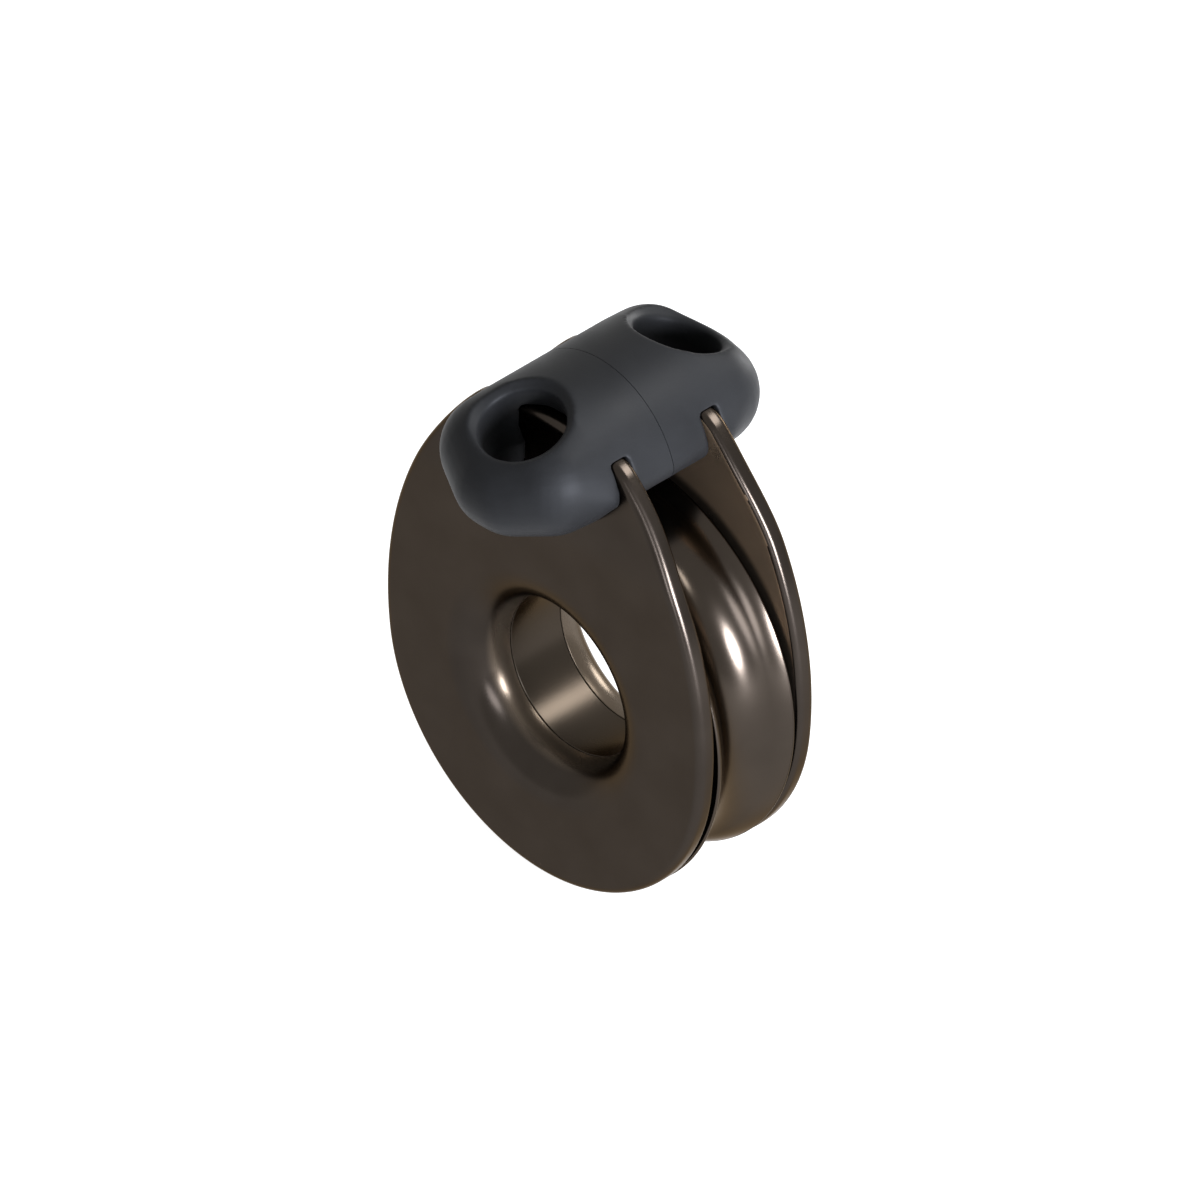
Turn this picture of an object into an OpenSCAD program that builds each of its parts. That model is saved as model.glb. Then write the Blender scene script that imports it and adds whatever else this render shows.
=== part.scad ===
// Yacht block with a ball bearing sheave, two flared cheeks and a split head with two lashing eyes.
// The origin is the middle of the hub bore. +Y is the bearing axis and +Z points to the head.
// The near side is at -Y and the far side is at +Y.

/* [Hub] */
// Radius of the open bore through the hub
bore_r = 40.6; // [30:0.1:60]
// Length of the straight bore between the two cheek spigots
hub_len = 31.8; // [26:0.2:44]
// Radius of the rounded mouth that each cheek gives the bore
flare_r = 20.6; // [16:0.2:24]
// Radial thickness of a cheek's spigot at its root
spigot_wall = 6.9; // [5.6:0.1:8]
// Radial thickness of the hub tube outside a spigot
tube_wall = 6.5; // [5:0.1:9]

/* [Cheeks] */
// Thickness of a cheek plate
cheek_t = 10.3; // [6:0.1:11]
// Distance that a cheek's upper part is set inwards, beside the head
lean_t = 3; // [1:0.5:4]
// Height over which the cheek slopes inwards, down from the head's underside
lean_run = 28; // [18:1:30]
// Radius of the round lower part of a cheek
cheek_r = 100; // [94:0.5:106]
// Radius of the long side arcs that rise to the head
side_r = 184; // [160:1:220]
// Height of the cheek's widest point over the bore centre
belly_z = 10; // [0:1:20]
// Radius of the cheek's top edge, about the bore centre
cheek_top_r = 149; // [145:0.5:153]
// Radius of the two upper corners
cheek_corner_r = 20; // [10:1:30]

/* [Sheave] */
// Radius of the sheave at its rims
sheave_r = 100; // [96:0.5:104]
// Width of the sheave across its rims
sheave_w = 48.7; // [44:0.1:50]
// Depth of the rope groove under the rims
groove_depth = 13.5; // [8:0.5:17]
// Radius of the shoulders between the rims and the groove's floor
shoulder_r = 18; // [10:1:24]
// Slope at which a shoulder reaches its rim
rim_slope = 22; // [10:1:30]
// Radius of the rims' outer edges
rim_r = 1; // [0.5:0.1:2.5]

/* [Bearing] */
// Diameter of a ball
ball_d = 12; // [9:0.5:13]
// Balls in each row
ball_count = 24; // [16:1:26]
// Distance of each ball row from the middle of the hub
row_y = 11.6; // [10:0.1:12]
// Clearance between a ball and its races
ball_play = 0.1; // [0.05:0.05:0.2]
// Thickness of an inner race under its balls
race_floor = 2.7; // [2:0.1:4]
// Height of a race's shoulder over the bottom of its track
shoulder_h = 3.6; // [3:0.1:4]
// Thickness of a seal ring
seal_t = 2.4; // [1.5:0.1:3]
// Radial width of the seat that the sheave gives a seal
seal_seat = 3.2; // [2:0.1:5]
// Thickness of the friction washer
washer_t = 1.5; // [1:0.1:2.5]

/* [Locking] */
// Diameter of the wire of a lock ring
lock_wire_d = 2.4; // [1.6:0.1:2.8]
// Depth of a lock ring behind the spigot's end
lock_inset = 4; // [3:0.1:4.6]
// Diameter of the hub dowels and of the stop pin
dowel_d = 3; // [2:0.1:3.2]
// Length of a dowel on each side of the cheek's inner face
dowel_half = 3; // [2:0.1:3.4]
// Dowels that key the far cheek
dowel_count = 3; // [2:1:6]
// Angle that the near cheek swings each way
swing = 90; // [30:5:120]

/* [Head] */
// Radius of the head's rounded top, across the block
head_r = 48.9; // [46:0.1:54]
// Distance of that radius' centre under the cheek's top edge
head_drop = 32.3; // [30:0.1:36]
// Height of the head's flat underside over that centre
head_floor = 3.9; // [1:0.1:7]
// Radius of the head's lower edges
head_edge_r = 8; // [4:0.5:10]
// Length of each head half's straight barrel
barrel_len = 41; // [37:0.5:44]
// Radius of a lashing eye's throat
eye_r = 20.5; // [16:0.5:21]
// Radius of the lip rounding at an eye's mouth
eye_lip_r = 2; // [1:0.5:4]
// Distance of an eye's mouth from the parting face
eye_y = 49.7; // [48:0.1:51.5]
// Height of an eye's mouth over the cheek's top edge
eye_rise = 5.6; // [4:0.1:8]
// Length of an eye's straight throat
eye_land = 7; // [5:0.5:8]
// Outward lean of an eye
eye_lean = 20; // [12:1:24]
// Radius of the lashing's channel beside the cheek
channel_r = 17; // [13:0.5:18]
// Distance that the channel is set into the cheek's face
channel_inset = 9; // [6:0.5:12]
// Distance of the channel's round top under the cheek's top edge
channel_drop = 1; // [0:0.5:7]

/* [Head fasteners] */
// Distance of a head screw from the block's middle
screw_x = 29; // [27:0.5:31]
// Distance of the head screws under the cheek's top edge
screw_drop = 13; // [11:0.5:16]
// Diameter of a head screw's shank
screw_d = 6; // [5:0.5:6.5]
// Diameter of a head screw's head
screw_head_d = 10; // [9:0.5:11]
// Height of a head screw's head
screw_head_h = 4.5; // [3:0.5:6]
// Distance of the screw head's seat from the parting face
screw_seat_y = 14; // [10:0.5:18]
// Width of the screw pocket over the screw's head
head_play = 1; // [0.5:0.1:2]
// Length of a threaded insert
insert_len = 13; // [8:0.5:15]
// Depth of the insert's hole behind the insert
insert_end_gap = 3; // [1:0.5:4]
// Outer diameter of a threaded insert
insert_d = 9; // [8:0.5:10]

/* [Clearances] */
// Gap between parts that move past each other
run_gap = 0.3; // [0.2:0.05:0.5]
// Radial clearance of a spigot or pin in its bore
fit_gap = 0.05; // [0.02:0.01:0.1]
// Gap between a cheek and the head that holds it
seat_gap = 0.1; // [0.05:0.05:0.2]

/* [Hidden] */
$fn = 96;

// Stations along the bearing axis, measured from the middle
seam_y = hub_len / 2;
face_y = seam_y + flare_r;
inner_y = face_y - cheek_t;
lean_inner_y = inner_y - lean_t;
ear_y = face_y - lean_t;
lock_y = seam_y + lock_inset;

// Radii about the bearing axis
mouth_r = bore_r + flare_r;
spigot_r = bore_r + spigot_wall;
tube_r = spigot_r + fit_gap + tube_wall;
track_r = ball_d / 2 + ball_play;
pitch_r = tube_r + race_floor + track_r;
inner_shoulder_r = pitch_r - track_r + shoulder_h;
outer_shoulder_r = pitch_r + track_r - shoulder_h;
seal_seat_r = outer_shoulder_r + seal_seat;
dowel_r = spigot_r + fit_gap + tube_wall / 2;

// The groove's floor is a circle that touches the two rounded shoulders
rim_y = sheave_w / 2 - rim_r;
shoulder_c_r = sheave_r - shoulder_r * cos(rim_slope);
shoulder_c_y = rim_y + shoulder_r * sin(rim_slope);
floor_rise = sheave_r - groove_depth - shoulder_c_r;
groove_floor_r = (pow(shoulder_c_y, 2) + pow(floor_rise, 2) - pow(shoulder_r, 2))
    / (2 * (shoulder_r - floor_rise));
floor_c_r = sheave_r - groove_depth + groove_floor_r;
touch_share = shoulder_r / (shoulder_r + groove_floor_r);
touch_r = shoulder_c_r + (floor_c_r - shoulder_c_r) * touch_share;
touch_y = shoulder_c_y * (1 - touch_share);

// Widths in the bearing
race_side = 0.8;
race_half = ball_d / 2 + race_side;
race_in_y = row_y - race_half;
race_out_y = row_y + race_half;
cage_gap = 0.7;
pocket_gap = 0.15;
washer_rim = 2;

// The cheek's long side arc is tangent inside to the round lower part
side_c = sqrt(pow(side_r - cheek_r, 2) - pow(belly_z, 2));
side_join_z = -belly_z * cheek_r / (side_r - cheek_r);
// Centre of an upper corner: inside both the top edge and the side arc
corner_reach = cheek_top_r - cheek_corner_r;
corner_side = side_r - cheek_corner_r;
side_span = sqrt(pow(side_c, 2) + pow(belly_z, 2));
corner_angle = acos((pow(corner_reach, 2) + pow(side_span, 2) - pow(corner_side, 2))
    / (2 * corner_reach * side_span));
corner_turn = 180 - atan2(belly_z, side_c) - corner_angle;
corner_x = corner_reach * cos(corner_turn);
corner_z = corner_reach * sin(corner_turn);
far_out = 400;

// Heights in the head, all carried by the cheek's top edge
head_z = cheek_top_r - head_drop;
head_floor_z = head_z + head_floor;
eye_z = cheek_top_r + eye_rise;
screw_z = cheek_top_r - screw_drop;

// The head's lower edge: a small circle that touches the barrel and the flat underside
edge_z = head_floor_z + head_edge_r;
edge_x = sqrt(pow(head_r - head_edge_r, 2) - pow(edge_z - head_z, 2));

// How far the barrel's full section runs on outside the cheek, and the balls that carry the ear:
// place across, along and up, then radius
barrel_end = 1.5;
EAR = [[0, barrel_len - 2.5, head_z + 16.3, 28.7], [17.6, barrel_len + 7.6, head_z + 15.1, 25.4],
    [3.3, barrel_len + 16.9, head_z + 10.2, 23.5], [18.6, face_y, head_z + 11.6, 23]];

channel_y = face_y + channel_r - channel_inset;
channel_ball_z = cheek_top_r - channel_drop - channel_r;

// Under its straight throat an eye opens a little into a round elbow that leads to the channel
throat_end = eye_lip_r + eye_land;
elbow_swell = 0.5;
elbow_r = eye_r + elbow_swell;
elbow_down = throat_end + sqrt(pow(elbow_r, 2) - pow(eye_r, 2));

// How far a cut runs past the face that it opens
over = 1;
// How far the eye's cut runs up past its mouth
mouth_over = 15;
// Width of a screw's hex socket as a share of its shank
key_share = 0.9;

// Turns a profile drawn as radius and station into a body about the bearing axis
module turned(angle = 360) {
    rotate([-90, 0, 0])
        rotate_extrude(angle = angle)
            children();
}

// Puts a flat outline, drawn across and up, between two stations on the bearing axis
module plate_between(y0, y1) {
    translate([0, y1, 0])
        rotate([90, 0, 0])
            linear_extrude(y1 - y0)
                children();
}

// Draws a far side piece on the near side
module near_side() {
    mirror([0, 1, 0])
        children();
}

// A ring of the given radii between two stations, as a profile
module ring_profile(r0, r1, y0, y1) {
    translate([r0, y0])
        square([r1 - r0, y1 - y0]);
}

// The cheek's outline, grown all round by g
module cheek_outline(g = 0) {
    circle(cheek_r + g);
    difference() {
        intersection() {
            translate([-side_c, belly_z])
                circle(side_r + g);
            translate([side_c, belly_z])
                circle(side_r + g);
            circle(cheek_top_r + g);
            translate([-far_out / 2, side_join_z])
                square([far_out, far_out]);
        }
        for (s = [-1, 1])
            corner_waste(s);
    }
    for (s = [-1, 1])
        translate([s * corner_x, corner_z])
            circle(cheek_corner_r + g);
}

// The sharp tip that the corner rounding takes off: a fan from the corner's centre
module corner_waste(s) {
    top_dir = [corner_x, corner_z] / corner_reach;
    side_dir = [corner_x + side_c, corner_z - belly_z] / corner_side;
    reach = cheek_corner_r * 4;
    centre = [s * corner_x, corner_z];
    polygon([centre, centre + reach * [s * top_dir[0], top_dir[1]],
        centre + reach * [s * side_dir[0], side_dir[1]]]);
}

// One cheek on the far side: plate, rounded mouth and spigot, with its spigot's end set back
module cheek(end_gap) {
    difference() {
        union() {
            intersection() {
                plate_between(lean_inner_y - over, face_y + over)
                    difference() {
                        cheek_outline();
                        circle(mouth_r);
                    }
                cheek_side();
            }
            turned()
                intersection() {
                    translate([mouth_r, seam_y])
                        circle(flare_r);
                    union() {
                        ring_profile(bore_r, mouth_r, inner_y, face_y);
                        ring_profile(bore_r, spigot_r, seam_y + end_gap, inner_y);
                    }
                }
        }
        screw_pattern()
            screw_hole(lean_inner_y - over, face_y + over, screw_d + 2 * seat_gap);
        turned()
            lock_groove();
    }
}

// The cheek seen from its edge, grown by g: straight beside the sheave, then sloping inwards to
// the part that the head clamps
module cheek_side(g = 0) {
    low_z = head_floor_z - lean_run;
    rotate([90, 0, 90])
        translate([0, 0, -far_out / 2])
            linear_extrude(far_out)
                polygon([[inner_y - g, -far_out], [face_y + g, -far_out], [face_y + g, low_z],
                    [ear_y + g, head_floor_z], [ear_y + g, far_out], [lean_inner_y - g, far_out],
                    [lean_inner_y - g, head_floor_z], [inner_y - g, low_z]]);
}

module cheek_far() {
    color("#5b5148")
        difference() {
            cheek(0);
            dowel_pattern()
                dowel_solid(dowel_half);
        }
}

module cheek_near() {
    color("#5b5148")
        near_side()
            difference() {
                cheek(run_gap);
                stop_slot();
            }
}

// Round grooves in the spigot and the tube that share one lock wire
module lock_groove() {
    translate([spigot_r, lock_y])
        circle(lock_wire_d / 2 + fit_gap);
}

// The curved slot that the stop pin runs in, with room for the swing each way
module stop_slot() {
    slot_half = dowel_d / 2 + run_gap;
    slot_turn = swing + asin(slot_half / dowel_r);
    rotate([0, 90 - slot_turn, 0])
        turned(2 * slot_turn)
            ring_profile(dowel_r - slot_half, dowel_r + slot_half, inner_y - over,
                inner_y + dowel_half + run_gap);
}

// One half of the head on the far side
module head_half() {
    difference() {
        union() {
            plate_between(run_gap / 2, face_y)
                head_section();
            intersection() {
                ear();
                translate([-far_out / 2, ear_y, 0])
                    cube([far_out, far_out, far_out]);
            }
        }
        intersection() {
            plate_between(lean_inner_y - over, face_y + over)
                cheek_outline(seat_gap);
            cheek_side(seat_gap);
        }
        eye_cut();
        channel_cut();
        screw_pattern() {
            screw_hole(-over, screw_seat_y, screw_head_d + head_play);
            screw_hole(screw_seat_y - over, face_y + over, screw_d + 2 * seat_gap);
            screw_hole(ear_y - over, ear_y + insert_len + insert_end_gap, insert_d);
        }
    }
}

// The head's section across the block: a round top on a flat floor with rounded edges
module head_section() {
    difference() {
        intersection() {
            translate([0, head_z])
                circle(head_r);
            translate([-far_out / 2, head_floor_z])
                square([far_out, far_out]);
        }
        for (s = [-1, 1])
            head_edge_waste(s);
    }
    for (s = [-1, 1])
        translate([s * edge_x, edge_z])
            circle(head_edge_r);
}

// The sharp lower edge that the rounding takes off: a fan from the rounding's centre
module head_edge_waste(s) {
    out_dir = [edge_x, edge_z - head_z] / (head_r - head_edge_r);
    reach = head_edge_r * 4;
    centre = [s * edge_x, edge_z];
    polygon([centre, centre + reach * [s * out_dir[0], out_dir[1]], centre + reach * [s, -1],
        centre + reach * [0, -1]]);
}

// The swollen ear outside the cheek, as the skin round the head's section and a few balls
module ear() {
    hull() {
        plate_between(face_y, face_y + barrel_end)
            head_section($fn = 64);
        for (s = [-1, 1])
            for (b = EAR)
                translate([s * b[0], b[1], b[2]])
                    sphere(b[3], $fn = 32);
    }
}

// The eye's round throat and its rolled lip, leaning outwards
module eye_cut() {
    lip_out = eye_r + eye_lip_r;
    translate([0, eye_y, eye_z])
        rotate([-eye_lean, 0, 0]) {
            translate([0, 0, -throat_end])
                cylinder(r = eye_r, h = throat_end + over);
            rotate_extrude() {
                difference() {
                    translate([0, -eye_lip_r])
                        square([lip_out, eye_lip_r]);
                    translate([lip_out, -eye_lip_r])
                        circle(eye_lip_r);
                }
                polygon([[0, 0], [lip_out, 0], [lip_out + mouth_over, mouth_over], [0, mouth_over]]);
            }
        }
}

// The elbow and the round-topped channel that lead the lashing down the cheek's outer face
module channel_cut() {
    intersection() {
        union() {
            translate([0, channel_y, channel_ball_z]) {
                sphere(channel_r);
                mirror([0, 0, 1])
                    cylinder(r = channel_r, h = channel_ball_z);
            }
            translate([0, eye_y, eye_z])
                rotate([-eye_lean, 0, 0])
                    translate([0, 0, -elbow_down])
                        sphere(elbow_r);
        }
        translate([-far_out / 2, inner_y, 0])
            cube([far_out, far_out, far_out]);
    }
}

module head_far() {
    color("#3a3d40")
        head_half();
}

module head_near() {
    color("#3a3d40")
        near_side()
            head_half();
}

// Both screw positions of one head half
module screw_pattern() {
    for (s = [-1, 1])
        translate([s * screw_x, 0, screw_z])
            children();
}

// A round hole or shank along the bearing axis between two stations
module screw_hole(y0, y1, d) {
    translate([0, y0, 0])
        rotate([-90, 0, 0])
            cylinder(d = d, h = y1 - y0);
}

// A socket head screw from its seat into the insert
module head_screws() {
    screw_pattern()
        difference() {
            union() {
                screw_hole(screw_seat_y - screw_head_h, screw_seat_y, screw_head_d);
                screw_hole(screw_seat_y, ear_y + insert_len, screw_d);
            }
            translate([0, screw_seat_y - screw_head_h - over, 0])
                rotate([-90, 0, 0])
                    cylinder(d = screw_d * key_share, h = over + screw_head_h / 2, $fn = 6);
        }
}

module head_screws_far() {
    color("#b9bcc0")
        head_screws();
}

module head_screws_near() {
    color("#b9bcc0")
        near_side()
            head_screws();
}

// Threaded inserts moulded in the ear, flush with the cheek's outer face
module head_inserts() {
    screw_pattern()
        difference() {
            screw_hole(ear_y + seat_gap, ear_y + insert_len, insert_d);
            screw_hole(ear_y - over, ear_y + insert_len + over, screw_d);
        }
}

module head_inserts_far() {
    color("#c8a24a")
        head_inserts();
}

module head_inserts_near() {
    color("#c8a24a")
        near_side()
            head_inserts();
}

// The hub tube: one bore, a step at each end for the cheek's spigot
module hub_tube() {
    color("#6a5d50")
        difference() {
            turned()
                difference() {
                    union() {
                        ring_profile(bore_r, tube_r, -seam_y, seam_y);
                        ring_profile(spigot_r + fit_gap, tube_r, -inner_y + run_gap, inner_y);
                    }
                    lock_groove();
                    mirror([0, 1])
                        lock_groove();
                }
            dowel_pattern()
                dowel_solid(dowel_half);
            near_side()
                stop_pin_place()
                    dowel_solid(dowel_half);
        }
}

// Places of the far cheek's dowels
module dowel_pattern() {
    for (i = [0 : dowel_count - 1])
        rotate([0, i * 360 / dowel_count, 0])
            translate([dowel_r, inner_y, 0])
                children();
}

// Place of the stop pin, at the foot of the near cheek
module stop_pin_place() {
    rotate([0, 90, 0])
        translate([dowel_r, inner_y, 0])
            children();
}

// A dowel across the joint between tube and cheek
module dowel_solid(half) {
    translate([0, -half, 0])
        rotate([-90, 0, 0])
            cylinder(d = dowel_d, h = 2 * half);
}

module hub_dowels() {
    color("#a9adb2")
        dowel_pattern()
            dowel_solid(dowel_half - seat_gap);
}

module swing_stop_pin() {
    color("#a9adb2")
        near_side()
            stop_pin_place()
                dowel_solid(dowel_half);
}

// The sheave: rope groove outside, two ball tracks and two seal seats inside
module sheave() {
    color("#5b5148")
        turned()
            difference() {
                sheave_blank();
                for (s = [-1, 1])
                    scale([1, s]) {
                        translate([pitch_r, row_y])
                            circle(track_r);
                        ring_profile(0, seal_seat_r, race_out_y, sheave_w);
                    }
                rope_groove();
            }
}

// The sheave's profile before the groove and tracks are cut, with its outer edges rounded
module sheave_blank() {
    ring_profile(outer_shoulder_r, sheave_r, -rim_y, rim_y);
    ring_profile(outer_shoulder_r, sheave_r - rim_r, -sheave_w / 2, sheave_w / 2);
    for (s = [-1, 1])
        translate([sheave_r - rim_r, s * rim_y])
            circle(rim_r);
}

// The groove: a round floor that runs smoothly into a round shoulder on each side
module rope_groove() {
    open_r = sheave_r + over;
    translate([floor_c_r, 0])
        circle(groove_floor_r);
    difference() {
        polygon([[sheave_r, rim_y], [open_r, rim_y], [open_r, -rim_y], [sheave_r, -rim_y],
            [touch_r, -touch_y], [touch_r, touch_y]]);
        for (s = [-1, 1])
            translate([shoulder_c_r, s * shoulder_c_y])
                circle(shoulder_r);
    }
}

module inner_race() {
    color("#9aa0a6")
        turned()
            difference() {
                union() {
                    ring_profile(tube_r, pitch_r - track_r, race_in_y, race_out_y);
                    ring_profile(tube_r, inner_shoulder_r, row_y, race_out_y);
                }
                translate([pitch_r, row_y])
                    circle(track_r);
            }
}

module inner_race_far() {
    inner_race();
}

module inner_race_near() {
    near_side()
        inner_race();
}

module race_spacer() {
    color("#6f757b")
        turned()
            ring_profile(tube_r, tube_r + race_floor, -race_in_y, race_in_y);
}

// One row of balls, all free in their cage
module ball_row() {
    color("#e8e6df")
        for (i = [0 : ball_count - 1])
            rotate([0, i * 360 / ball_count, 0])
                translate([pitch_r, row_y, 0])
                    sphere(d = ball_d);
}

module balls_far() {
    ball_row();
}

module balls_near() {
    near_side()
        ball_row();
}

// A plain ring with one round pocket for each ball
module ball_cage() {
    color("#26282b")
        difference() {
            turned()
                ring_profile(inner_shoulder_r + cage_gap, outer_shoulder_r - cage_gap,
                    race_in_y + run_gap, race_out_y - run_gap);
            for (i = [0 : ball_count - 1])
                rotate([0, i * 360 / ball_count, 0])
                    translate([inner_shoulder_r, row_y, 0])
                        rotate([0, 90, 0])
                            cylinder(d = ball_d + 2 * pocket_gap, h = outer_shoulder_r - inner_shoulder_r);
        }
}

module cage_far() {
    ball_cage();
}

module cage_near() {
    near_side()
        ball_cage();
}

// A seal ring pressed in the sheave, with a small gap round the end spacer
module seal() {
    color("#1f2022")
        turned()
            ring_profile(inner_shoulder_r + run_gap, seal_seat_r, race_out_y + run_gap,
                race_out_y + run_gap + seal_t);
}

module seal_far() {
    seal();
}

module seal_near() {
    near_side()
        seal();
}

module end_spacer_far() {
    color("#6f757b")
        turned()
            ring_profile(tube_r, inner_shoulder_r, race_out_y, inner_y);
}

module end_spacer_near() {
    color("#6f757b")
        near_side()
            turned()
                ring_profile(tube_r, inner_shoulder_r, race_out_y, inner_y - run_gap - washer_t);
}

module friction_washer() {
    color("#e4dfd2")
        near_side()
            turned()
                ring_profile(tube_r, inner_shoulder_r + washer_rim, inner_y - run_gap - washer_t, inner_y - run_gap);
}

// A round wire, half in the spigot and half in the tube
module lock_ring() {
    color("#c9ccd0")
        turned()
            translate([spigot_r, lock_y])
                circle(d = lock_wire_d);
}

module lock_ring_far() {
    lock_ring();
}

module lock_ring_near() {
    near_side()
        lock_ring();
}

cheek_near();
cheek_far();
head_near();
head_far();
sheave();
hub_tube();
inner_race_near();
inner_race_far();
race_spacer();
balls_near();
balls_far();
cage_near();
cage_far();
seal_near();
seal_far();
end_spacer_near();
end_spacer_far();
friction_washer();
lock_ring_near();
lock_ring_far();
hub_dowels();
swing_stop_pin();
head_screws_near();
head_screws_far();
head_inserts_near();
head_inserts_far();
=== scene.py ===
import math

import bmesh
import bpy
from mathutils import Matrix, Vector


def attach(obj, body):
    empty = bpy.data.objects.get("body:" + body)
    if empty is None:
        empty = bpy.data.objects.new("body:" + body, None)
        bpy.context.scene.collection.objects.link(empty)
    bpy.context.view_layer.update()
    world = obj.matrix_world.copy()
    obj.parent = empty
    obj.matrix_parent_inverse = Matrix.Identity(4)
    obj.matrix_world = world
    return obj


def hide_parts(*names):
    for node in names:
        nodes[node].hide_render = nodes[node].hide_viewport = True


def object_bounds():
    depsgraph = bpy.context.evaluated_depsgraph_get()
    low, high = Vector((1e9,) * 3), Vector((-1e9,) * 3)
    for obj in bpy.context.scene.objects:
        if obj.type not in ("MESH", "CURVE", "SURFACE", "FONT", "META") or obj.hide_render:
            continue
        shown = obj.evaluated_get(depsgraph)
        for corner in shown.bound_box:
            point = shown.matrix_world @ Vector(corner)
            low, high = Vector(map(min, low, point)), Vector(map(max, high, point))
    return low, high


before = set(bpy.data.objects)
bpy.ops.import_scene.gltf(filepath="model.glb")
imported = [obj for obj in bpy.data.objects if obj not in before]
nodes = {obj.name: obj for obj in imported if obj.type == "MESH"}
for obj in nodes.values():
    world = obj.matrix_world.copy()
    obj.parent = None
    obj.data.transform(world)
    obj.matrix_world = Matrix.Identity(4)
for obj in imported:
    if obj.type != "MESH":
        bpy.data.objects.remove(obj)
cad_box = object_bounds()

# The studio. The block is photographed without perspective, from its near right and from above,
# against plain white. A bright round lamp at its right gives the metal its highlights, and three
# weaker ones fill in from the front, from above and from behind.
MM = 0.001
AXIS = Vector((0, 1, 0))
VIEW_TURN = math.radians(45)
VIEW_RISE = math.radians(35.264)
VIEW_WIDTH = 539.2 * MM
AIM_UP = 26.75 * MM
AIM_RIGHT = 0.1 * MM
CAMERA_AWAY = 2
CAMERA_REACH = 20
LAMP_AWAY = 1.3
ROOM_LEVEL = 0.35
WHITE = (1, 1, 1, 1)
scene = bpy.context.scene
scene.view_settings.view_transform = "Standard"
view_back = Vector(
    (
        math.sin(VIEW_TURN) * math.cos(VIEW_RISE),
        -math.cos(VIEW_TURN) * math.cos(VIEW_RISE),
        math.sin(VIEW_RISE),
    )
)
view_right = Vector((math.cos(VIEW_TURN), math.sin(VIEW_TURN), 0))
view_up = view_back.cross(view_right)
camera = bpy.data.objects.new("camera", bpy.data.cameras.new("camera"))
camera.data.type = "ORTHO"
camera.data.ortho_scale = VIEW_WIDTH
camera.data.clip_end = CAMERA_REACH
camera.rotation_mode = "QUATERNION"
camera.rotation_quaternion = view_back.to_track_quat("Z", "Y")
camera.location = view_back * CAMERA_AWAY + view_up * AIM_UP + view_right * AIM_RIGHT
scene.collection.objects.link(camera)
scene.camera = camera


def softbox(name, turn, rise, wide, high, radiance, tint=(1, 1, 1)):
    """A soft lamp that faces the block, at a turn from its front and a rise over the table, in degrees."""
    lamp = bpy.data.lights.new(name, "AREA")
    lamp.shape = "ELLIPSE"
    lamp.size = wide
    lamp.size_y = high
    lamp.energy = radiance * math.pi * wide * high
    lamp.color = tint
    stand = bpy.data.objects.new(name, lamp)
    turn, rise = math.radians(turn), math.radians(rise)
    toward = Vector((math.sin(turn) * math.cos(rise), -math.cos(turn) * math.cos(rise), math.sin(rise)))
    stand.rotation_mode = "QUATERNION"
    stand.rotation_quaternion = toward.to_track_quat("Z", "Y")
    stand.location = toward * LAMP_AWAY
    stand.visible_camera = False
    scene.collection.objects.link(stand)


COOL_LIGHT = (0.94, 0.98, 1.09)
softbox("right_lamp", 84, 15, 0.5, 0.5, 64, tint=COOL_LIGHT)
softbox("front_lamp", 39, 14, 0.34, 0.6, 9, tint=COOL_LIGHT)
softbox("top_lamp", 148, 53, 0.6, 0.4, 16)
softbox("back_lamp", 183, 10, 0.42, 0.36, 14)


def seen_white(tree):
    """1 for what is seen straight, in a reflection or through glass, and 0 for light on the block."""
    path = tree.nodes.new("ShaderNodeLightPath")
    seen = path.outputs["Is Camera Ray"]
    for ray in ("Is Glossy Ray", "Is Transmission Ray"):
        either = tree.nodes.new("ShaderNodeMath")
        either.operation = "ADD"
        either.use_clamp = True
        tree.links.new(seen, either.inputs[0])
        tree.links.new(path.outputs[ray], either.inputs[1])
        seen = either.outputs[0]
    return seen


world = bpy.data.worlds.new("studio")
scene.world = world
world.use_nodes = True
room = world.node_tree
room.nodes.clear()
room_light = room.nodes.new("ShaderNodeBackground")
room_light.inputs["Color"].default_value = WHITE
room_light.inputs["Strength"].default_value = ROOM_LEVEL
white_wall = room.nodes.new("ShaderNodeBackground")
white_wall.inputs["Color"].default_value = WHITE
white_wall.inputs["Strength"].default_value = 1
room_mix = room.nodes.new("ShaderNodeMixShader")
room_out = room.nodes.new("ShaderNodeOutputWorld")
room.links.new(seen_white(room), room_mix.inputs[0])
room.links.new(room_light.outputs[0], room_mix.inputs[1])
room.links.new(white_wall.outputs[0], room_mix.inputs[2])
room.links.new(room_mix.outputs[0], room_out.inputs[0])

# The table under the block: a plain white sheet that keeps a soft shadow. The block stands on the
# round foot of its two cheeks.
FLOOR_HALF = 4
PAPER_TONE = (0.8, 0.8, 0.8, 1)
SHADOW_TONE = (0.4, 0.4, 0.4, 1)
PAPER_GLOW = 0.9
floor_shape = bmesh.new()
bmesh.ops.create_grid(floor_shape, x_segments=2, y_segments=2, size=FLOOR_HALF)
bmesh.ops.translate(floor_shape, vec=(0, 0, cad_box[0].z), verts=floor_shape.verts)
floor_mesh = bpy.data.meshes.new("floor")
floor_shape.to_mesh(floor_mesh)
floor_shape.free()
floor = bpy.data.objects.new("floor", floor_mesh)
scene.collection.objects.link(floor)
paper = bpy.data.materials.new("white_paper")
paper.use_nodes = True
sheet = paper.node_tree
sheet.nodes.clear()
plain_paper = sheet.nodes.new("ShaderNodeBsdfDiffuse")
plain_paper.inputs["Color"].default_value = PAPER_TONE
shaded_paper = sheet.nodes.new("ShaderNodeBsdfDiffuse")
shaded_paper.inputs["Color"].default_value = SHADOW_TONE
paper_glow = sheet.nodes.new("ShaderNodeEmission")
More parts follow.
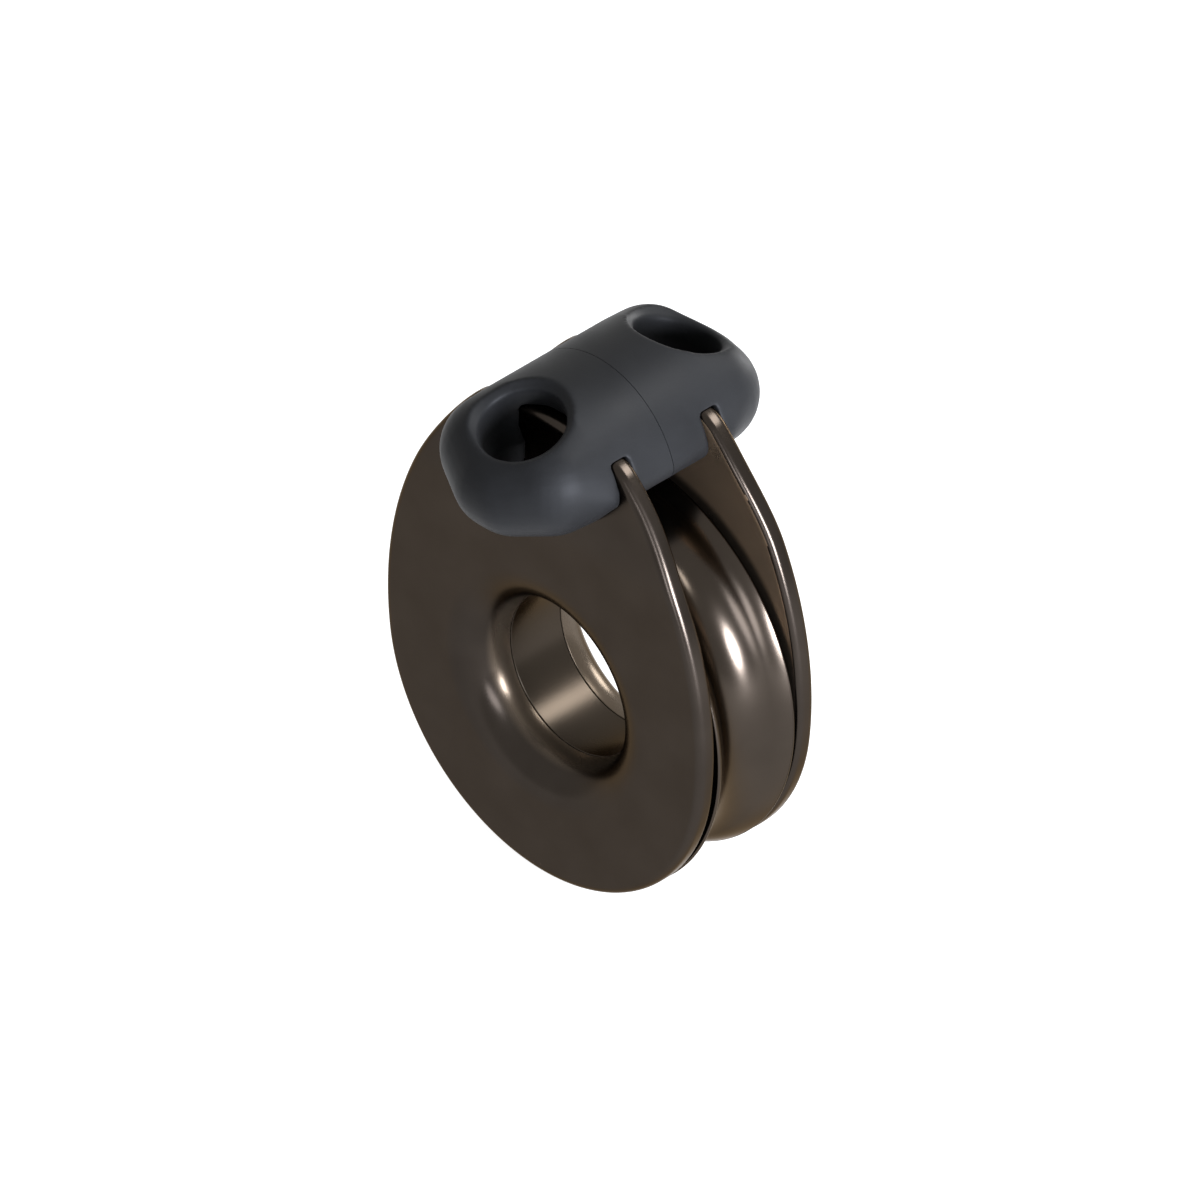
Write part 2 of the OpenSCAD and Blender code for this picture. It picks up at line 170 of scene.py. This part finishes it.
paper_glow.inputs["Color"].default_value = WHITE
paper_glow.inputs["Strength"].default_value = PAPER_GLOW
white_paper = sheet.nodes.new("ShaderNodeAddShader")
paper_mix = sheet.nodes.new("ShaderNodeMixShader")
paper_out = sheet.nodes.new("ShaderNodeOutputMaterial")
sheet.links.new(shaded_paper.outputs[0], white_paper.inputs[0])
sheet.links.new(paper_glow.outputs[0], white_paper.inputs[1])
sheet.links.new(seen_white(sheet), paper_mix.inputs[0])
sheet.links.new(plain_paper.outputs[0], paper_mix.inputs[1])
sheet.links.new(white_paper.outputs[0], paper_mix.inputs[2])
sheet.links.new(paper_mix.outputs[0], paper_out.inputs[0])
floor_mesh.materials.append(paper)

# The two cheeks: aluminium plate, milled to an egg shape with a rounded edge, with a trumpet mouth
# and a spigot turned in the middle, then blasted and hard anodised in dark bronze.
BORE_R = 40.6
SEAM_Y = 15.9
FLARE_R = 20.6
FACE_Y = SEAM_Y + FLARE_R
INNER_Y = 26.2
SPIGOT_R = 47.5
NEAR_END_GAP = 0.3
SEAM_CHAMFER = 0.25
FOOT_R = 100
SIDE_R = 184
BELLY_Z = 10
TOP_R = 149
CORNER_R = 22
OUTER_ROUND = 4.0
INNER_ROUND = 3.2
EDGE_BAND = 0.4
LAP = 0.5
SPIGOT_CHAMFER = 0.4
LEAN = 3
LEAN_LOW_Z = 87
LEAN_HIGH_Z = 128
LEAN_CUTS = 18
LEAN_SNAP = 0.3
AROUND = 256
MERGE = 0.002
ARC_MERGE = 0.01
ON_PLANE = 1e-4
FLAT_CORNERS = 20
INNER_FACE_PLAY = 0.1 * MM
FACING_AXIS = 0.9
SHARP_ABOVE = math.radians(35)


def add_socket(group, name, kind, value=0):
    """Adds one input or output socket to a node group."""
    socket = group.interface.new_socket(name, in_out=kind, socket_type="NodeSocketFloat")
    if kind == "INPUT":
        socket.default_value = value


def blasted_group():
    """The skin of blasted and anodised metal: fine pits, and slow patches of tone."""
    group = bpy.data.node_groups.new("blasted_skin", "ShaderNodeTree")
    add_socket(group, "Grain Size", "INPUT", 2200)
    add_socket(group, "Patch Size", "INPUT", 30)
    add_socket(group, "Grain", "OUTPUT")
    add_socket(group, "Patch", "OUTPUT")
    sizes_in = group.nodes.new("NodeGroupInput")
    values_out = group.nodes.new("NodeGroupOutput")
    place = group.nodes.new("ShaderNodeTexCoord")
    for value, size, detail in (("Grain", "Grain Size", 2), ("Patch", "Patch Size", 4)):
        noise = group.nodes.new("ShaderNodeTexNoise")
        noise.inputs["Detail"].default_value = detail
        group.links.new(place.outputs["Object"], noise.inputs["Vector"])
        group.links.new(sizes_in.outputs[size], noise.inputs["Scale"])
        group.links.new(noise.outputs["Fac"], values_out.inputs[value])
    return group


blasted = blasted_group()
NOISE_LOW = 0.3
NOISE_HIGH = 0.7
PIT_DEPTH = 0.05 * MM


def toned(tree, value, low, high):
    """A colour ramp that turns a noise value into a colour between low and high."""
    ramp = tree.nodes.new("ShaderNodeValToRGB")
    ramp.color_ramp.elements[0].position = NOISE_LOW
    ramp.color_ramp.elements[1].position = NOISE_HIGH
    ramp.color_ramp.elements[0].color = (*low, 1)
    ramp.color_ramp.elements[1].color = (*high, 1)
    tree.links.new(value, ramp.inputs["Fac"])
    return ramp.outputs["Color"]


def ranged(tree, value, low, high):
    """A noise value carried onto the range from low to high."""
    carried = tree.nodes.new("ShaderNodeMapRange")
    carried.inputs["From Min"].default_value = NOISE_LOW
    carried.inputs["From Max"].default_value = NOISE_HIGH
    carried.inputs["To Min"].default_value = low
    carried.inputs["To Max"].default_value = high
    tree.links.new(value, carried.inputs["Value"])
    return carried.outputs["Result"]


def skin(name, low, high, rough, metallic, grain_size, pit, patch_size, gloss=0.5, edge=(1, 1, 1)):
    """A material with the blasted skin: colour from low to high in slow patches, and fine pits."""
    made = bpy.data.materials.new(name)
    made.use_nodes = True
    tree = made.node_tree
    shader = tree.nodes["Principled BSDF"]
    shader.inputs["Metallic"].default_value = metallic
    shader.inputs["Specular IOR Level"].default_value = gloss
    shader.inputs["Specular Tint"].default_value = (*edge, 1)
    base = tree.nodes.new("ShaderNodeGroup")
    base.node_tree = blasted
    base.inputs["Grain Size"].default_value = grain_size
    base.inputs["Patch Size"].default_value = patch_size
    tree.links.new(toned(tree, base.outputs["Patch"], low, high), shader.inputs["Base Color"])
    tree.links.new(ranged(tree, base.outputs["Patch"], *rough), shader.inputs["Roughness"])
    bump = tree.nodes.new("ShaderNodeBump")
    bump.inputs["Strength"].default_value = pit
    bump.inputs["Distance"].default_value = PIT_DEPTH
    tree.links.new(base.outputs["Grain"], bump.inputs["Height"])
    tree.links.new(bump.outputs["Normal"], shader.inputs["Normal"])
    return made


def toned_from_axis(made, tone, metal, inner, outer):
    """Gives the skin another tone within the inner radius, and its own from the outer radius on."""
    tree = made.node_tree
    shader = tree.nodes["Principled BSDF"]
    place = tree.nodes.new("ShaderNodeTexCoord")
    across = tree.nodes.new("ShaderNodeVectorMath")
    across.operation = "MULTIPLY"
    across.inputs[1].default_value = (1, 0, 1)
    from_axis = tree.nodes.new("ShaderNodeVectorMath")
    from_axis.operation = "LENGTH"
    fade = tree.nodes.new("ShaderNodeMapRange")
    fade.interpolation_type = "SMOOTHSTEP"
    fade.inputs["From Min"].default_value = inner * MM
    fade.inputs["From Max"].default_value = outer * MM
    fade.inputs["To Min"].default_value = 1
    fade.inputs["To Max"].default_value = 0
    blend = tree.nodes.new("ShaderNodeMix")
    blend.data_type = "RGBA"
    blend.inputs["B"].default_value = (*tone, 1)
    dull = tree.nodes.new("ShaderNodeMapRange")
    dull.inputs["To Min"].default_value = shader.inputs["Metallic"].default_value
    dull.inputs["To Max"].default_value = metal
    plain = shader.inputs["Base Color"].links[0].from_socket
    tree.links.new(place.outputs["Object"], across.inputs[0])
    tree.links.new(across.outputs["Vector"], from_axis.inputs[0])
    tree.links.new(from_axis.outputs["Value"], fade.inputs["Value"])
    tree.links.new(fade.outputs["Result"], blend.inputs["Factor"])
    tree.links.new(plain, blend.inputs["A"])
    tree.links.new(blend.outputs["Result"], shader.inputs["Base Color"])
    tree.links.new(fade.outputs["Result"], dull.inputs["Value"])
    tree.links.new(dull.outputs["Result"], shader.inputs["Metallic"])


BRONZE_EDGE = (0.6, 0.54, 0.48)
# Painted reflection: radii within which the cheek's mouth is painted paler and less metallic towards the
# bore.
MOUTH_PAINTED_GLOW = (BORE_R + 0.8, BORE_R + 4.5)
# Painted shade: radii within which the inner face is painted dark just outside the sheave's rim.
SHEAVE_PAINTED_SHADE = (100.5, 106)
bronze = skin(
    "bronze_anodising", (0.0305, 0.0248, 0.0204), (0.0361, 0.0296, 0.0246), (0.22, 0.27), 1, 2600, 0.1, 35,
    edge=BRONZE_EDGE,
)
# Painted reflection: the mouth is painted paler and less metallic close to the bore, fading out by the
# second radius.
toned_from_axis(bronze, (0.08, 0.061, 0.043), 0.6, *MOUTH_PAINTED_GLOW)
# A paler copy of the bronze for the cheeks' inner faces: painted light, standing in for the glow reflected
# between the sheave and the cheeks.
bronze_inner_painted_light = skin(
    "bronze_inner_face_painted_light", (0.228, 0.164, 0.109), (0.268, 0.192, 0.127), (0.27, 0.33), 0.82, 2600, 0.1, 35,
    edge=BRONZE_EDGE,
)
# Painted shade: the inner face is painted darker and more metallic just outside the sheave's rim, fading
# out by the second radius.
toned_from_axis(bronze_inner_painted_light, (0.06, 0.046, 0.034), 0.9, *SHEAVE_PAINTED_SHADE)


def arc(bm, start, centre, turn, steps):
    """Swings one vertex about a centre in the cheek's plane and gives the last vertex of the arc."""
    before = set(bm.verts)
    bmesh.ops.spin(
        bm, geom=[start], cent=centre, axis=AXIS, dvec=(0, 0, 0), angle=turn, steps=steps,
        use_duplicate=False,
    )
    return [v for v in bm.verts if v not in before][-1]


def leaned(bm):
    """Sets the cheek's upper part inwards beside the head, with a smooth slope up from the sheave."""
    run = LEAN_HIGH_Z - LEAN_LOW_Z
    for cut in range(LEAN_CUTS + 1):
        bmesh.ops.bisect_plane(
            bm, geom=bm.verts[:] + bm.edges[:] + bm.faces[:], dist=LEAN_SNAP,
            plane_co=(0, 0, LEAN_LOW_Z + run * cut / LEAN_CUTS), plane_no=(0, 0, 1),
        )
    for vert in bm.verts:
        share = min(max((vert.co.z - LEAN_LOW_Z) / run, 0), 1)
        vert.co.y -= LEAN * share**2 * (3 - 2 * share)


def cheek_shape(end_gap):
    """One far cheek: a bevelled plate bridged to a spun mouth and spigot, and then leaned."""
    bm = bmesh.new()
    side_x = math.sqrt((SIDE_R - FOOT_R) ** 2 - BELLY_Z**2)
    join = Vector((side_x, 0, -BELLY_Z)).normalized() * FOOT_R
    reach = TOP_R - CORNER_R
    span = math.hypot(side_x, BELLY_Z)
    bend = math.acos((reach**2 + span**2 - (SIDE_R - CORNER_R) ** 2) / (2 * reach * span))
    corner_turn = math.pi - math.atan2(BELLY_Z, side_x) - bend
    corner = Vector((math.cos(corner_turn), 0, math.sin(corner_turn))) * reach
    side_centre = Vector((-side_x, 0, BELLY_Z))
    side_touch = side_centre + (corner - side_centre).normalized() * SIDE_R
    top_touch = corner.normalized() * TOP_R
    foot = bm.verts.new((0, FACE_Y, -FOOT_R))
    face = Vector((0, FACE_Y, 0))
    end = arc(bm, foot, face, -Vector((0, 0, -1)).angle(join), 70)
    end = arc(bm, end, side_centre + face, -(join - side_centre).angle(side_touch - side_centre), 56)
    end = arc(bm, end, corner + face, -(side_touch - corner).angle(top_touch - corner), 28)
    arc(bm, end, face, -top_touch.angle(Vector((0, 0, 1))), 16)
    half = bm.verts[:] + bm.edges[:]
    bmesh.ops.mirror(bm, geom=half, matrix=Matrix.Identity(4), merge_dist=ARC_MERGE, axis="X")
    bmesh.ops.remove_doubles(bm, verts=bm.verts, dist=ARC_MERGE)
    plate = bmesh.ops.edgeloop_fill(bm, edges=bm.edges[:])["faces"]
    grown = bmesh.ops.extrude_face_region(bm, geom=plate, use_keep_orig=True)
    low = [v for v in grown["geom"] if isinstance(v, bmesh.types.BMVert)]
    bmesh.ops.translate(bm, vec=(0, INNER_Y - FACE_Y, 0), verts=low)
    outer_edges = [e for e in bm.edges if all(abs(v.co.y - FACE_Y) < ON_PLANE for v in e.verts)]
    inner_edges = [e for e in bm.edges if all(abs(v.co.y - INNER_Y) < ON_PLANE for v in e.verts)]
    for edges, offset, segments in ((outer_edges, OUTER_ROUND, 10), (inner_edges, INNER_ROUND, 8)):
        bmesh.ops.bevel(
            bm, geom=edges, offset=offset, offset_type="OFFSET", segments=segments, profile=0.5,
            affect="EDGES", material=-1, clamp_overlap=False,
        )
    for flat in [f for f in bm.faces if len(f.verts) > FLAT_CORNERS]:
        bmesh.ops.inset_region(bm, faces=[flat], thickness=EDGE_BAND, use_even_offset=True)
    flats = [f for f in bm.faces if len(f.verts) > FLAT_CORNERS]
    bmesh.ops.delete(bm, geom=flats, context="FACES_ONLY")

    rise = math.asin((end_gap + SEAM_CHAMFER) / FLARE_R)
    mouth = bm.verts.new((BORE_R + FLARE_R * (1 - math.cos(rise)), SEAM_Y + end_gap + SEAM_CHAMFER, 0))
    before = set(bm.verts)
    bmesh.ops.spin(
        bm, geom=[mouth], cent=(BORE_R + FLARE_R, SEAM_Y, 0), axis=(0, 0, 1), dvec=(0, 0, 0),
        angle=-(math.pi / 2 - rise), steps=28, use_duplicate=False,
    )
    lip = [v for v in bm.verts if v not in before][-1]
    bm.edges.new((lip, bm.verts.new((BORE_R + FLARE_R + LAP, FACE_Y, 0))))
    end_y = SEAM_Y + end_gap
    last = mouth
    for r, y in (
        (BORE_R + SEAM_CHAMFER, end_y), (SPIGOT_R - SPIGOT_CHAMFER, end_y),
        (SPIGOT_R, end_y + SPIGOT_CHAMFER), (SPIGOT_R, INNER_Y), (SPIGOT_R + LAP, INNER_Y),
    ):
        point = bm.verts.new((r, y, 0))
        bm.edges.new((last, point))
        last = point
    profile = [v for v in bm.verts if abs(v.co.z) < 1e-6 and 0 < v.co.x < BORE_R + FLARE_R + 1]
    lines = [e for e in bm.edges if all(v in profile for v in e.verts)]
    bmesh.ops.spin(
        bm, geom=profile + lines, cent=(0, 0, 0), axis=AXIS, dvec=(0, 0, 0), angle=math.tau,
        steps=AROUND, use_merge=True, use_duplicate=False,
    )
    bmesh.ops.remove_doubles(bm, verts=bm.verts, dist=MERGE)
    for level in (FACE_Y, INNER_Y):
        open_edges = [
            e for e in bm.edges if e.is_boundary and all(abs(v.co.y - level) < ARC_MERGE for v in e.verts)
        ]
        bmesh.ops.bridge_loops(bm, edges=open_edges)
    bmesh.ops.recalc_face_normals(bm, faces=bm.faces)
    leaned(bm)
    bmesh.ops.scale(bm, vec=(MM, MM, MM), verts=bm.verts)
    return bm


def finished(bm, name, material):
    """Turns a bmesh into an object with smooth shading that breaks at sharp edges."""
    mesh = bpy.data.meshes.new(name)
    bm.normal_update()
    for face in bm.faces:
        face.smooth = True
    for edge in bm.edges:
        edge.smooth = edge.calc_face_angle(0) < SHARP_ABOVE
    bm.to_mesh(mesh)
    bm.free()
    made = bpy.data.objects.new(name, mesh)
    mesh.materials.append(material)
    scene.collection.objects.link(made)
    return made


def to_near_side(bm):
    """Mirrors a far piece to the near side and turns its faces out again."""
    bmesh.ops.scale(bm, vec=(1, -1, 1), verts=bm.verts)
    bmesh.ops.recalc_face_normals(bm, faces=bm.faces)
    return bm


def paint_inner_light(cheek):
    """Gives the cheek's inner face a paler copy of the bronze: painted light, for the glow reflected
    between the sheave and the cheeks.
    """
    cheek.data.materials.append(bronze_inner_painted_light)
    for face in cheek.data.polygons:
        inward = INNER_Y * MM - abs(face.center.y)
        leans = -INNER_FACE_PLAY < inward < LEAN * MM + INNER_FACE_PLAY
        if leans and abs(face.normal.y) > FACING_AXIS:
            face.material_index = 1


far_cheek = finished(cheek_shape(0), "far_cheek_plate", bronze)
paint_inner_light(far_cheek)
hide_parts("cheek_far")
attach(far_cheek, "far_side")
near_cheek = finished(to_near_side(cheek_shape(NEAR_END_GAP)), "near_cheek_plate", bronze)
paint_inner_light(near_cheek)
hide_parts("cheek_near")
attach(near_cheek, "near_side")

# The sheave: one turned aluminium wheel with a deep S-shaped rope groove, anodised like the cheeks.
# Its inside is the outer race of both ball rows, and it has a seat for a seal ring on each side.
SHEAVE_R = 100
SHEAVE_HALF = 24.35
RIM_ROUND = 1.0
SHOULDER_R = 18
RIM_SLOPE = math.radians(22)
GROOVE_DEPTH = 13.5
PITCH_R = 62.85
TRACK_R = 6.1
ROW_Y = 11.6
RACE_SHOULDER = 3.6
SEAL_SEAT = 3.2
SEAT_CHAMFER = 0.3
SEAT_BAND = 0.8
RIM_BAND = 2
ROW_HALF = 6.8


def swept(bm, start, centre, turn, steps):
    """Swings one vertex about a centre in the turned profile and gives the last vertex."""
    before = set(bm.verts)
    bmesh.ops.spin(
        bm, geom=[start], cent=centre, axis=(0, 0, 1), dvec=(0, 0, 0), angle=turn, steps=steps,
        use_duplicate=False,
    )
    return [v for v in bm.verts if v not in before][-1]


def run_to(bm, start, r, y):
    """Draws a straight line of the turned profile and gives its end."""
    point = bm.verts.new((r, y, 0))
    bm.edges.new((start, point))
    return point


def spun(bm):
    """Spins the whole profile about the hub's axis and closes it."""
    bmesh.ops.spin(
        bm, geom=bm.verts[:] + bm.edges[:], cent=(0, 0, 0), axis=AXIS, dvec=(0, 0, 0), angle=math.tau,
        steps=AROUND, use_merge=True, use_duplicate=False,
    )
    bmesh.ops.remove_doubles(bm, verts=bm.verts, dist=MERGE)
    bmesh.ops.recalc_face_normals(bm, faces=bm.faces)
    bmesh.ops.scale(bm, vec=(MM, MM, MM), verts=bm.verts)
    return bm


def sheave_shape():
    """The wheel's profile, half of it drawn and then mirrored, and spun."""
    bm = bmesh.new()
    rim_y = SHEAVE_HALF - RIM_ROUND
    shoulder_y = rim_y + SHOULDER_R * math.sin(RIM_SLOPE)
    shoulder = Vector((SHEAVE_R - SHOULDER_R * math.cos(RIM_SLOPE), shoulder_y, 0))
    rise = SHEAVE_R - GROOVE_DEPTH - shoulder.x
    floor_r = (shoulder.y**2 + rise**2 - SHOULDER_R**2) / (2 * (SHOULDER_R - rise))
    floor_centre = Vector((SHEAVE_R - GROOVE_DEPTH + floor_r, 0, 0))
    between = (shoulder - floor_centre).normalized()
    floor_turn = between.angle(Vector((-1, 0, 0)))
    bottom = bm.verts.new((SHEAVE_R - GROOVE_DEPTH, 0, 0))
    touch = swept(bm, bottom, floor_centre, -floor_turn, 18)
    outward = Vector((math.cos(RIM_SLOPE), -math.sin(RIM_SLOPE), 0))
    shoulder_turn = (-between).angle(outward)
    crest = swept(bm, touch, shoulder, shoulder_turn, 24)
    rim_centre = Vector((SHEAVE_R - RIM_ROUND, rim_y, 0))
    rim = run_to(bm, crest, rim_centre.x + RIM_ROUND * outward.x, rim_centre.y + RIM_ROUND * outward.y)
    side = swept(bm, rim, rim_centre, math.pi / 2 + RIM_SLOPE, 10)
    inside_r = PITCH_R + TRACK_R - RACE_SHOULDER
    seat_r = inside_r + SEAL_SEAT
    row_edge = math.acos((inside_r - PITCH_R) / TRACK_R)
    for r, y in (
        (SHEAVE_R - RIM_BAND, SHEAVE_HALF), (seat_r + SEAT_BAND, SHEAVE_HALF),
        (seat_r + SEAT_CHAMFER, SHEAVE_HALF), (seat_r, SHEAVE_HALF - SEAT_CHAMFER),
        (seat_r, ROW_Y + ROW_HALF), (inside_r, ROW_Y + ROW_HALF),
        (inside_r, ROW_Y + TRACK_R * math.sin(row_edge)),
    ):
        side = run_to(bm, side, r, y)
    side = swept(bm, side, Vector((PITCH_R, ROW_Y, 0)), -2 * row_edge, 16)
    run_to(bm, side, inside_r, 0)
    half = bm.verts[:] + bm.edges[:]
    bmesh.ops.mirror(bm, geom=half, matrix=Matrix.Identity(4), merge_dist=0.001, axis="Y")
    bmesh.ops.remove_doubles(bm, verts=bm.verts, dist=MERGE)
    return spun(bm)


sheave_bronze = skin(
    "sheave_anodising", (0.040, 0.0322, 0.0258), (0.048, 0.0388, 0.0312), (0.20, 0.25), 1, 2000, 0.08, 25,
    edge=BRONZE_EDGE,
)
wheel = finished(sheave_shape(), "sheave_wheel", sheave_bronze)
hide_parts("sheave")
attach(wheel, "sheave_body")

# The hub tube: a turned aluminium sleeve between the two spigots. Its bore shows through the hub as
# a band between two fine chamfered seams, and the races sit on its outside.
TUBE_R = 54.05
TUBE_STEP_R = 47.55
NEAR_END = SEAM_Y - 0.2
FAR_END = SEAM_Y - 0.5
END_PLAY = 0.3


def tube_shape():
    """The sleeve's profile: a plain bore, a chamfer at each seam, and the steps for the spigots."""
    bm = bmesh.new()
    first = bm.verts.new((BORE_R, -NEAR_END + SEAM_CHAMFER, 0))
    last = run_to(bm, first, BORE_R, FAR_END - SEAM_CHAMFER)
    for r, y in (
        (BORE_R + SEAM_CHAMFER, FAR_END), (TUBE_STEP_R, FAR_END), (TUBE_STEP_R, INNER_Y), (TUBE_R, INNER_Y),
        (TUBE_R, END_PLAY - INNER_Y), (TUBE_STEP_R, END_PLAY - INNER_Y), (TUBE_STEP_R, -NEAR_END),
        (BORE_R + SEAM_CHAMFER, -NEAR_END),
    ):
        last = run_to(bm, last, r, y)
    bm.edges.new((last, first))
    return spun(bm)


hub_bronze = skin(
    "hub_anodising", (0.036, 0.0288, 0.0222), (0.042, 0.0336, 0.0260), (0.26, 0.31), 1, 2000, 0.1, 25,
    edge=BRONZE_EDGE,
)
tube = finished(tube_shape(), "hub_sleeve", hub_bronze)
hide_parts("hub_tube")
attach(tube, "far_side")

# The head: two halves of glass-filled nylon, moulded with a lashing eye each and bolted to the
# cheeks from the parting face, so that each half swings with its cheek.
HEAD_VOXEL = 0.8 * MM
PARTING = 0.15 * MM
PARTING_SKIN = 1.2 * MM
CRISP_TO = PARTING + 2.5 * MM
EAR_FROM = (FACE_Y + 1.2) * MM
charcoal = skin(
    "charcoal_moulding", (0.0076, 0.0078, 0.0083), (0.0098, 0.0101, 0.0107), (0.46, 0.54), 0, 900, 0.6, 45,
    gloss=0.14, edge=(0.6, 0.61, 0.63),
)


def head_shape():
    """The far half: a remeshed and smoothed copy of the solid, with its parting edge kept crisp."""
    bm = bmesh.new()
    bm.from_mesh(nodes["head_far"].data)
    bmesh.ops.remove_doubles(bm, verts=bm.verts, dist=MERGE * MM)
    rough = bpy.data.meshes.new("head_rough")
    bm.to_mesh(rough)
    bm.free()
    block = bpy.data.objects.new("head_rough", rough)
    scene.collection.objects.link(block)
    remesh = block.modifiers.new("remesh", "REMESH")
    remesh.mode = "VOXEL"
    remesh.voxel_size = HEAD_VOXEL
    bpy.context.view_layer.update()
    seen_block = block.evaluated_get(bpy.context.evaluated_depsgraph_get())
    fine = bpy.data.meshes.new_from_object(seen_block)
    bpy.data.objects.remove(block)
    bm = bmesh.new()
    bm.from_mesh(fine)
    body = [v for v in bm.verts if v.co.y > CRISP_TO]
    ear = [v for v in bm.verts if v.co.y > EAR_FROM]
    for verts, times in ((body, 5), (ear, 9)):
        for _ in range(times):
            bmesh.ops.smooth_vert(
                bm, verts=verts, factor=0.5, use_axis_x=True, use_axis_y=True, use_axis_z=True
            )
    cut = PARTING + PARTING_SKIN
    bmesh.ops.bisect_plane(
        bm, geom=bm.verts[:] + bm.edges[:] + bm.faces[:], dist=1e-7, plane_co=(0, cut, 0),
        plane_no=(0, 1, 0), clear_inner=True,
    )
    rim = [e for e in bm.edges if e.is_boundary]
    grown = bmesh.ops.extrude_edge_only(bm, edges=rim)["geom"]
    front = [v for v in grown if isinstance(v, bmesh.types.BMVert)]
    bmesh.ops.translate(bm, vec=(0, PARTING - cut, 0), verts=front)
    bmesh.ops.holes_fill(bm, edges=[e for e in bm.edges if e.is_boundary], sides=0)
    bmesh.ops.recalc_face_normals(bm, faces=bm.faces)
    return bm


far_head = finished(head_shape(), "far_head_half", charcoal)
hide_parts("head_far")
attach(far_head, "far_side")
near_head = finished(to_near_side(head_shape()), "near_head_half", charcoal)
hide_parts("head_near")
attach(near_head, "near_side")

# The races: turned rings of hard aluminium that the balls run on, a plain ring between the two rows,
# and an end ring on each side. They slide onto the hub sleeve and the cheeks clamp them.


def turned_group():
    """The fine rings that a lathe leaves on a face, from the bearing axis outwards."""
    group = bpy.data.node_groups.new("lathe_rings", "ShaderNodeTree")
    add_socket(group, "Ring Size", "INPUT", 900)
    add_socket(group, "Rings", "OUTPUT")
    sizes_in = group.nodes.new("NodeGroupInput")
    values_out = group.nodes.new("NodeGroupOutput")
    place = group.nodes.new("ShaderNodeTexCoord")
    rings = group.nodes.new("ShaderNodeTexWave")
    rings.wave_type = "RINGS"
    rings.rings_direction = "Y"
    rings.inputs["Distortion"].default_value = 0.6
    rings.inputs["Detail"].default_value = 2
    group.links.new(place.outputs["Object"], rings.inputs["Vector"])
    group.links.new(sizes_in.outputs["Ring Size"], rings.inputs["Scale"])
    group.links.new(rings.outputs["Fac"], values_out.inputs["Rings"])
    return group


lathe_rings = turned_group()
RING_DEPTH = 0.02 * MM


def turned_skin(name, low, high, rough, metallic, ring_size, ring_depth):
    """A lathe-turned finish: the skin with lathe rings laid over its pits."""
    made = skin(name, low, high, rough, metallic, 1500, 0.15, 40)
    tree = made.node_tree
    rings = tree.nodes.new("ShaderNodeGroup")
    rings.node_tree = lathe_rings
    rings.inputs["Ring Size"].default_value = ring_size
    raised = tree.nodes.new("ShaderNodeBump")
    raised.inputs["Strength"].default_value = ring_depth
    raised.inputs["Distance"].default_value = RING_DEPTH
    shader = tree.nodes["Principled BSDF"]
    tree.links.new(shader.inputs["Normal"].links[0].from_socket, raised.inputs["Normal"])
    tree.links.new(rings.outputs["Rings"], raised.inputs["Height"])
    tree.links.new(raised.outputs["Normal"], shader.inputs["Normal"])
    return made


def dressed(material, *names):
    """Gives solids that keep their own shape their finish."""
    for name in names:
        for place in nodes[name].material_slots:
            place.material = material


race_metal = turned_skin("race_metal", (0.42, 0.43, 0.44), (0.52, 0.53, 0.54), (0.24, 0.32), 1, 900, 0.5)
dressed(race_metal, "inner_race_near", "inner_race_far", "race_spacer", "end_spacer_near", "end_spacer_far")

# The balls: 24 in each row, ground from a hard pale plastic that needs no grease, so that salt water
# does them no harm.
ball_plastic = skin(
    "ball_plastic", (0.66, 0.62, 0.53), (0.72, 0.68, 0.59), (0.24, 0.32), 0, 1200, 0.05, 160
)
dressed(ball_plastic, "balls_near", "balls_far")

# The cages: a moulded black nylon ring for each row, with a round pocket for each ball, that keeps the
# balls apart.
cage_plastic = skin(
    "cage_plastic", (0.016, 0.017, 0.018), (0.024, 0.025, 0.026), (0.42, 0.52), 0, 1500, 0.4, 60
)
dressed(cage_plastic, "cage_near", "cage_far")

# The seals: flat black rubber rings, one pressed into the sheave's seat on each side, that keep sand
# and grit off the balls.
seal_rubber = skin(
    "seal_rubber", (0.011, 0.011, 0.012), (0.019, 0.019, 0.020), (0.60, 0.72), 0, 1100, 0.5, 50
)
dressed(seal_rubber, "seal_near", "seal_far")

# The friction washer: a thin turned ring of pale slippery plastic, which the near cheek turns against
# when the block is swung open.
washer_plastic = turned_skin(
    "washer_plastic", (0.62, 0.59, 0.51), (0.70, 0.67, 0.59), (0.30, 0.40), 0, 700, 0.6
)
dressed(washer_plastic, "friction_washer")

# The locking parts: drawn stainless wire rings that snap the spigots into the sleeve, ground dowels
# that key the far cheek, the stop pin of the swing, and the socket screws of the head.
stainless = skin("stainless_steel", (0.50, 0.50, 0.49), (0.60, 0.60, 0.59), (0.18, 0.28), 1, 1800, 0.25, 90)
dressed(
    stainless, "lock_ring_near", "lock_ring_far", "hub_dowels", "swing_stop_pin", "head_screws_near",
    "head_screws_far",
)

# The head's threaded inserts: turned brass bushes moulded into the ears, two in each, that the head
# screws pull against the cheek.
insert_brass = skin("insert_brass", (0.52, 0.36, 0.14), (0.62, 0.44, 0.19), (0.24, 0.34), 1, 1500, 0.25, 80)
dressed(insert_brass, "head_inserts_near", "head_inserts_far")
